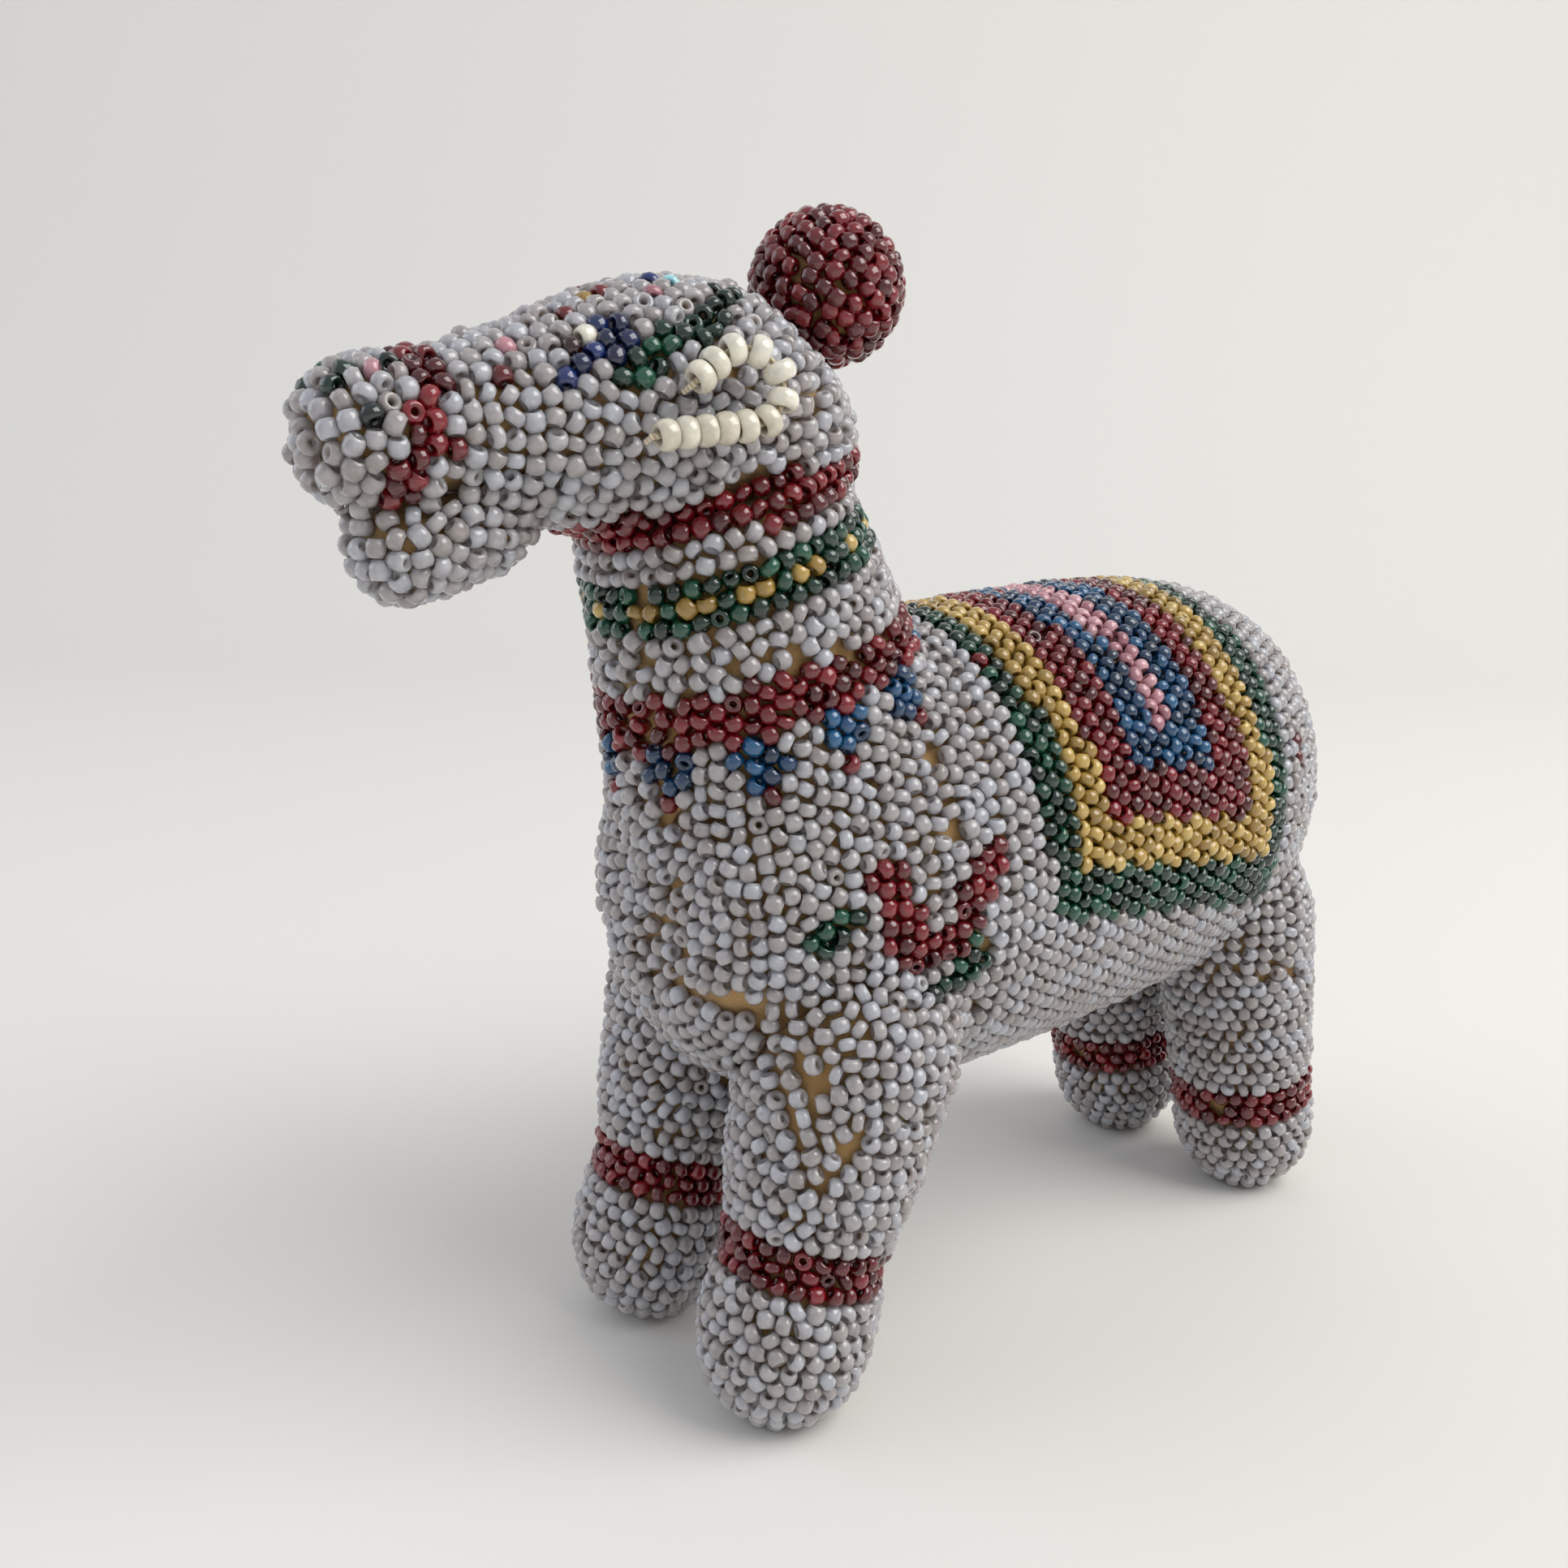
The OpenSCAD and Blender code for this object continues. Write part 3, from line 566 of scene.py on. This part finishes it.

# Pearl beads are milky glass with a cool sheen; the coloured ones are clear glass; yellow, pink and the ears'
# white are opaque, nearly without glow. Each bead's core colour is painted shade towards its hole, which makes
# the clear ones deep in the middle and bright only at the rim.
pearl = bead_glass("pearl_ceylon_glass", "B9B1AF", "CAC5C6", "D3D5DE", 0.85, (1.3, 1.2, 1.15), clear=0.4,
                   core="9A8468", hole_shade_share=0.3)
red = bead_glass("red_transparent_glass", "5C0910", "80101B", "A21C28", 0.5, (1.0, 0.15, 0.12), clear=0.4,
                 core="2A0508")
dark_red = bead_glass("garnet_glass", "1C0506", "300A0C", "4A1416", 0.4, (0.6, 0.1, 0.1), core="120304")
black_green = bead_glass("bottle_glass", "03100C", "071A14", "0C2A20", 0.3, (0.1, 0.3, 0.2), core="020806")
green = bead_glass("green_transparent_glass", "052218", "0A3C29", "186448", 0.35, (0.12, 0.6, 0.4), clear=0.3,
                   core="03100B")
blue = bead_glass("blue_transparent_glass", "0A2C48", "124672", "226A9A", 0.35, (0.12, 0.35, 0.8), clear=0.3,
                  core="05182A")
light_blue = bead_glass("light_blue_glass", "5FA8B8", "86C6D2", "B2E0E6", 0.5, (0.5, 0.8, 0.9), core="3A6A74")
navy = bead_glass("navy_glass", "0A1436", "0F1D4C", "1D3270", 0.3, (0.12, 0.2, 0.6), core="060918")
yellow = bead_glass("yellow_opaque_glass", "8F7232", "B08F44", "C9AC62", 0.3, (0.8, 0.6, 0.2), core="5E451C")
pink = bead_glass("pink_opaque_glass", "9A646E", "B67F88", "CFA2A9", 0.35, (0.8, 0.5, 0.5), core="6A3A44")
white = bead_glass("white_opaque_glass", "CBC3AF", "DDD7C6", "E9E4D6", 0.3, (0.8, 0.75, 0.6), core="5A4A34")


def lies_in(*nodes):
    """The beads that lie in these CAD nodes, as a mask."""
    return np.isin(bead_node, nodes)


# ---------------------------------------------------------------------------------------------------
# Eyes: a navy wedge of beads that points back, two white beads and a garnet one in its notch.
NAVY_EYE = [(28, 54), (28, 47), (28, 40.5), (28, 34), (28.5, 29), (29.1, 41),
            (30.1, 31.5), (31.7, 31), (33.3, 29)]
for side, mirror in (("left", lambda d: d), ("right", lambda d: 180 - d)):
    garnet, white_pair, wedge = (bead_nearest([skin_spot("head", a, mirror(d)) for a, d in spots])
                                 for spots in ([(31.7, 47)], [(29.6, 46), (31.2, 38.5)], NAVY_EYE))
    net_piece(side + "_eye_garnet_bead", garnet, dark_red, "red_glass_beads")
    net_piece(side + "_eye_white_beads", white_pair, white, "white_glass_beads")
    net_piece(side + "_eye_navy_beads", wedge, navy, "navy_glass_beads", side + "_eye")

# ---------------------------------------------------------------------------------------------------
# Brows, crown and nostrils: single beads of colour worked into the head's pearl netting.
brow = np.zeros(count, bool)
for mirror in (lambda d: d, lambda d: 180 - d):
    stops = [skin_spot("head", a, mirror(d)) for a, d in ((27.5, 18), (24, 30), (20, 41), (16, 54))]
    brow |= beads_near_line(stops, 1.5 * MM)
muzzle_green = bead_nearest(both_sides([(49.2, 65), (46.5, 58), (50.9, 49)]))
net_piece("brow_beads", brow, green, "green_glass_beads")
net_piece("muzzle_green_beads", muzzle_green, green, "green_glass_beads")
net_piece("nostril_beads", bead_nearest(both_sides([(48.6, 20)])), black_green, "green_glass_beads")
net_piece("crown_yellow_beads", bead_nearest(both_sides([(27, 74)])), yellow, "yellow_glass_beads")
net_piece("crown_navy_beads", bead_nearest(both_sides([(21, 72)])), navy, "navy_glass_beads")
net_piece("crown_light_blue_beads", bead_nearest(both_sides([(18.6, 72)])), light_blue, "blue_glass_beads")
net_piece("crown_pink_beads", bead_nearest(both_sides([(22, 63), (48, 62), (37, 60)])), pink,
          "pink_glass_beads")
net_piece("face_red_beads", bead_nearest(both_sides([(29.5, 68), (25, 76), (37.5, 34), (42, -9)])), red,
          "red_glass_beads")

# ---------------------------------------------------------------------------------------------------
# Head: the noseband is a red halter strap, two beads wide; the throat strap goes on under the jaw.
net_piece("noseband_beads", lies_in("noseband"), red, "red_glass_beads", "noseband")
net_piece("throat_strap_beads", lies_in("throat_strap"), red, "red_glass_beads", "throat_strap")
net_piece("head_beads", lies_in("head_net", "left_eye", "right_eye"), pearl, "pearl_glass_beads", "head_net")
net_piece("muzzle_beads", lies_in("muzzle_net"), pearl, "pearl_glass_beads", "muzzle_net")
net_piece("jaw_beads", lies_in("jaw_net"), pearl, "pearl_glass_beads", "jaw_net")

# ---------------------------------------------------------------------------------------------------
# Neck: a red collar over a round of blue flowers, each with a drop of red under it, and a green band
# with yellow dots.
FLOWERS = 11
FIRST_FLOWER = -8            # degrees round the neck
FLOWER_ALONG = 13.0
FLOWER_R = 2.9 * MM
flower_spots = [skin_spot("neck", FLOWER_ALONG, FIRST_FLOWER + k * 360 / FLOWERS) for k in range(FLOWERS)]
drop_spots = [skin_spot("neck", FLOWER_ALONG - 3.7, FIRST_FLOWER + k * 360 / FLOWERS) for k in range(FLOWERS)]
in_flower = np.zeros(count, bool)
for spot in flower_spots:
    in_flower |= np.linalg.norm(place - np.array(spot), axis=1) < FLOWER_R
in_flower &= lies_in("flower_round", "neck_net_lower")
net_piece("flower_beads", in_flower, blue, "blue_glass_beads", "flower_round")
net_piece("flower_drop_beads", bead_nearest(drop_spots), red, "red_glass_beads")
net_piece("collar_beads", lies_in("collar"), red, "red_glass_beads", "collar")
BAND_ALONG = 27.0            # the green band's middle ring, millimetres along the neck
BAND_RING_REACH = 0.85       # and how far from it a bead of that ring lies
DOTS = 15
middle_ring = np.abs(along - BAND_ALONG) < BAND_RING_REACH
dots = lies_in("neck_band") & middle_ring & (np.cos(np.radians(turned * DOTS)) > 0)
net_piece("neck_band_yellow_beads", dots, yellow, "yellow_glass_beads")
net_piece("neck_band_beads", lies_in("neck_band"), green, "green_glass_beads", "neck_band")
net_piece("neck_beads", lies_in("neck_net_lower", "neck_net_middle", "neck_net_upper", "flower_round"), pearl,
          "pearl_glass_beads", "neck_net_lower", "neck_net_middle", "neck_net_upper")

# ---------------------------------------------------------------------------------------------------
# Saddle blanket: worked into the netting in stripes, one inside the other.
for colour, glass in (("pink", pink), ("blue", blue), ("red", red), ("yellow", yellow), ("green", green)):
    node = "blanket_" + colour
    net_piece(node + "_beads", lies_in(node), glass, colour + "_glass_beads", node)

# ---------------------------------------------------------------------------------------------------
# Shoulder hearts and leaves, and a red patch on each haunch.
for side in ("left", "right"):
    net_piece(side + "_heart_beads", lies_in(side + "_shoulder_heart"), red, "red_glass_beads",
              side + "_shoulder_heart")
    net_piece(side + "_leaf_beads", lies_in(side + "_shoulder_leaves"), green, "green_glass_beads",
              side + "_shoulder_leaves")
haunch = np.zeros(count, bool)
for x in (20, -20):
    haunch |= beads_near_line(np.array([(x, 47, 60), (x, 47, 64.5)]) * MM, 1.5 * MM)
net_piece("haunch_red_beads", haunch, red, "red_glass_beads")

# ---------------------------------------------------------------------------------------------------
# Torso: pearl netting, in four pieces.
CHEST_END, RUMP_START = 0, 38 * MM      # along Y
torso = lies_in("torso_net")
net_piece("chest_beads", torso & (place[:, 1] < CHEST_END), pearl, "pearl_glass_beads", "torso_net")
net_piece("rump_beads", torso & (place[:, 1] > RUMP_START), pearl, "pearl_glass_beads")
net_piece("left_belly_beads", torso & (place[:, 0] > 0), pearl, "pearl_glass_beads")
net_piece("right_belly_beads", torso, pearl, "pearl_glass_beads")

# ---------------------------------------------------------------------------------------------------
# Legs: pearl netting with a red anklet over each rounded hoof.
for corner in ("left_front", "right_front", "left_rear", "right_rear"):
    net_piece(corner + "_anklet_beads", lies_in(corner + "_anklet"), red, "red_glass_beads", corner + "_anklet")
    net_piece(corner + "_hoof_beads", lies_in(corner + "_hoof"), pearl, "pearl_glass_beads", corner + "_hoof")
    net_piece(corner + "_leg_beads", lies_in(corner + "_leg_net"), pearl, "pearl_glass_beads",
              corner + "_leg_net")

# ---------------------------------------------------------------------------------------------------
# Ears: a loop of larger, chalky white glass beads on each side, on a cotton thread.
EAR_BEAD = ring_bead(1.45 * MM, 0.85 * MM, 0.44 * MM, 24, 12)
thread_cotton, tree = bare_material("thread_cotton_twisted")
twist = add_node(tree, "TexWave", {"Vector": add_node(tree, "TexCoord").outputs["Object"], "Scale": 900.0},
                 bands_direction="DIAGONAL").outputs["Fac"]
strands = blend_colours(tree, twist, linear("B9A27C"), linear("E6DAC0"))
bump = add_node(tree, "Bump", {"Height": twist, "Distance": 0.05 * MM})
fibre = add_node(tree, "BsdfPrincipled", {"Base Color": strands, "Roughness": 0.85, "Sheen Weight": 0.4,
                                          "Normal": bump.outputs["Normal"]})
add_node(tree, "OutputMaterial", {"Surface": fibre.outputs["BSDF"]})


def loose_parts(mesh):
    """The points of each separate part of a mesh."""
    work = bmesh.new()
    work.from_mesh(mesh)
    bmesh.ops.remove_doubles(work, verts=work.verts, dist=0.001 * MM)
    left, parts = set(work.verts), []
    while left:
        stack = [left.pop()]
        part = []
        while stack:
            vert = stack.pop()
            part.append(vert.co.copy())
            for edge in vert.link_edges:
                other = edge.other_vert(vert)
                if other in left:
                    left.remove(other)
                    stack.append(other)
        parts.append(np.array(part))
    work.free()
    return sorted(parts, key=lambda p: tuple(p.mean(0).round(6)))


for side in ("left", "right"):
    parts = loose_parts(frame["nodes"][side + "_ear_beads"].data)
    centres = np.array([(p.min(0) + p.max(0)) / 2 for p in parts])
    holes = np.array([np.linalg.svd(p - p.mean(0), full_matrices=False)[2][2] for p in parts])
    holes += rng.normal(0, 0.1, holes.shape)
    holes /= np.linalg.norm(holes, axis=1, keepdims=True)
    n = len(parts)
    ear = bead_piece(side + "_ear_loop_beads", centres, holes, 1 + rng.normal(0, 0.03, n),
                     1 + rng.normal(0, 0.05, n), rng.random(n), white, EAR_BEAD)
    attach(ear, side + "_ear")
    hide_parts(side + "_ear_beads")
    thread = frame["nodes"][side + "_ear_thread"]
    thread.data.materials.clear()
    thread.data.materials.append(thread_cotton)

# ---------------------------------------------------------------------------------------------------
# Pompon: a ball of cotton covered with red beads, tied on by a knot.
low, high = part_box("pompon_beads")
ball = (np.array(low) + np.array(high)) / 2
ball_r = (high[0] - low[0]) / 2 - BEAD_R
n = int(4 * math.pi * ball_r ** 2 / (RING_PITCH * ROW_PITCH) * 1.12)
k = np.arange(n) + 0.5
polar = np.arccos(1 - 2 * k / n)
round_it = k * math.pi * (1 + 5 ** 0.5)
out = np.stack([np.cos(round_it) * np.sin(polar), np.sin(round_it) * np.sin(polar), np.cos(polar)], 1)
out += rng.normal(0, 0.025, out.shape)
out /= np.linalg.norm(out, axis=1, keepdims=True)
holes = turned_about(np.cross(out, [0, 0.3, 0.95]), out, rng.uniform(0, 180, n))
holes /= np.linalg.norm(holes, axis=1, keepdims=True)
pompon = bead_piece("pompon_bead_ball", ball + out * ball_r, holes, 1 + rng.normal(0, 0.04, n),
                    1 + rng.normal(0, 0.1, n), rng.random(n), red, seed_bead)
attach(pompon, "pompon")
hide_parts("pompon_beads")
core = skin_over("pompon_cloth", ["pompon_core"], 0.5 * MM, 2)
core.data.materials.append(cotton)
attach(core, "pompon")
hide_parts("pompon_core")
knot = frame["nodes"]["pompon_knot"]
knot.data.materials.clear()
knot.data.materials.append(thread_cotton)

# ---------------------------------------------------------------------------------------------------
# Floor and backdrop: one pale sheet that curves up behind.
FLOOR_FRONT, FLOOR_BACK, SIDE, SWEEP_R, WALL = 1.2, 0.45, 2.0, 0.35, 1.2     # metres
profile = [(-FLOOR_FRONT, 0.0), (FLOOR_BACK, 0.0)]
profile += [(FLOOR_BACK + SWEEP_R * math.sin(a), SWEEP_R * (1 - math.cos(a)))
            for a in np.linspace(0.1, math.pi / 2, 14)]
profile += [(FLOOR_BACK + SWEEP_R, SWEEP_R + WALL)]
verts = [(x, y, z) for x in (-SIDE, SIDE) for y, z in profile]
m = len(profile)
mesh = bpy.data.meshes.new("floor")
mesh.from_pydata(verts, [], [(i, i + 1, m + i + 1, m + i) for i in range(m - 1)])
for face in mesh.polygons:
    face.use_smooth = True
floor = bpy.data.objects.new("floor", mesh)
bpy.context.scene.collection.objects.link(floor)
floor.rotation_euler = (0, 0, math.radians(48))
paper, tree = bare_material("matt_white_paper")
sheet = add_node(tree, "BsdfPrincipled", {"Base Color": linear("E9E6E1"), "Roughness": 0.8})
add_node(tree, "OutputMaterial", {"Surface": sheet.outputs["BSDF"]})
mesh.materials.append(paper)

# Light: a large window high behind on the right, and the room's own soft light.
world = bpy.data.worlds.new("room")
bpy.context.scene.world = world
world.use_nodes = True
world.node_tree.nodes["Background"].inputs["Color"].default_value = linear("EEF1F6")
world.node_tree.nodes["Background"].inputs["Strength"].default_value = 0.62


def window(name, at, size, watts, hex_colour):
    """A soft rectangular light that faces the figure."""
    light = bpy.data.lights.new(name, "AREA")
    light.shape = "RECTANGLE"
    light.size, light.size_y = size
    light.energy = watts
    light.color = linear(hex_colour)[:3]
    lamp = bpy.data.objects.new(name, light)
    bpy.context.scene.collection.objects.link(lamp)
    lamp.location = at
    lamp.rotation_euler = (Vector((0, 0, 0.05)) - Vector(at)).to_track_quat("-Z", "Y").to_euler()


window("window", (0.55, 0.35, 0.75), (0.8, 0.7), 7.0, "FFFEFA")
window("room_fill", (-0.6, -0.7, 0.5), (0.8, 0.8), 2.0, "EAF0FF")

# Camera: close and a little above, in front of the left shoulder.
CAMERA_AT = Vector((117.7, -108.0, 96.25)) * MM
CAMERA_YAW, CAMERA_PITCH, CAMERA_ROLL = -51.81, -13.05, 0.34
yaw, pitch, roll = (math.radians(v) for v in (CAMERA_YAW, CAMERA_PITCH, CAMERA_ROLL))
lens = bpy.data.cameras.new("camera")
lens.sensor_width = 36
lens.lens = 34.34
lens.clip_start = 0.01
camera = bpy.data.objects.new("camera", lens)
bpy.context.scene.collection.objects.link(camera)
ahead = Vector((math.sin(yaw) * math.cos(pitch), math.cos(yaw) * math.cos(pitch), math.sin(pitch)))
camera.rotation_mode = "QUATERNION"
camera.rotation_quaternion = ahead.to_track_quat("-Z", "Y") @ Quaternion((0, 0, 1), roll)
camera.location = CAMERA_AT
bpy.context.scene.camera = camera
bpy.context.scene.view_settings.view_transform = "Standard"
